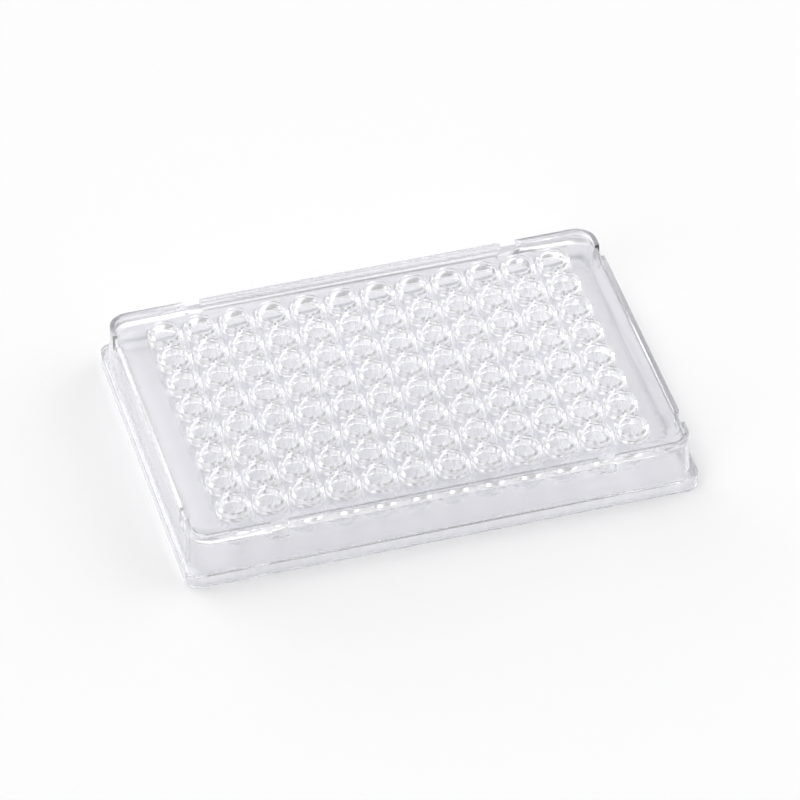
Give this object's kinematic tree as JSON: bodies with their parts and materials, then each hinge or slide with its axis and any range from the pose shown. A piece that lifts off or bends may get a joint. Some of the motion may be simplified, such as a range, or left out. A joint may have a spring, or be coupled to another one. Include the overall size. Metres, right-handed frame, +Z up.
{
  "type": "well plate",
  "caption": "Clear one-piece microplate: a drafted body on a stepped foot flange, a deck below a notched rim, and a grid of round-bottomed wells with raised collars.",
  "frame": {"origin": "middle of the base, on the surface that the plate stands on", "axes": "+X along the long side, from column 1 to the last column; +Y along the short side, towards row A; +Z up, out of the wells' mouths"},
  "size_m": [0.1278, 0.0854, 0.0143],
  "materials": {
    "clear_polystyrene": "water-clear moulded polystyrene with a polished mould finish on every face"
  },
  "bodies": {
    "root": {"well_plate": "clear_polystyrene"}
  },
  "joints": []
}
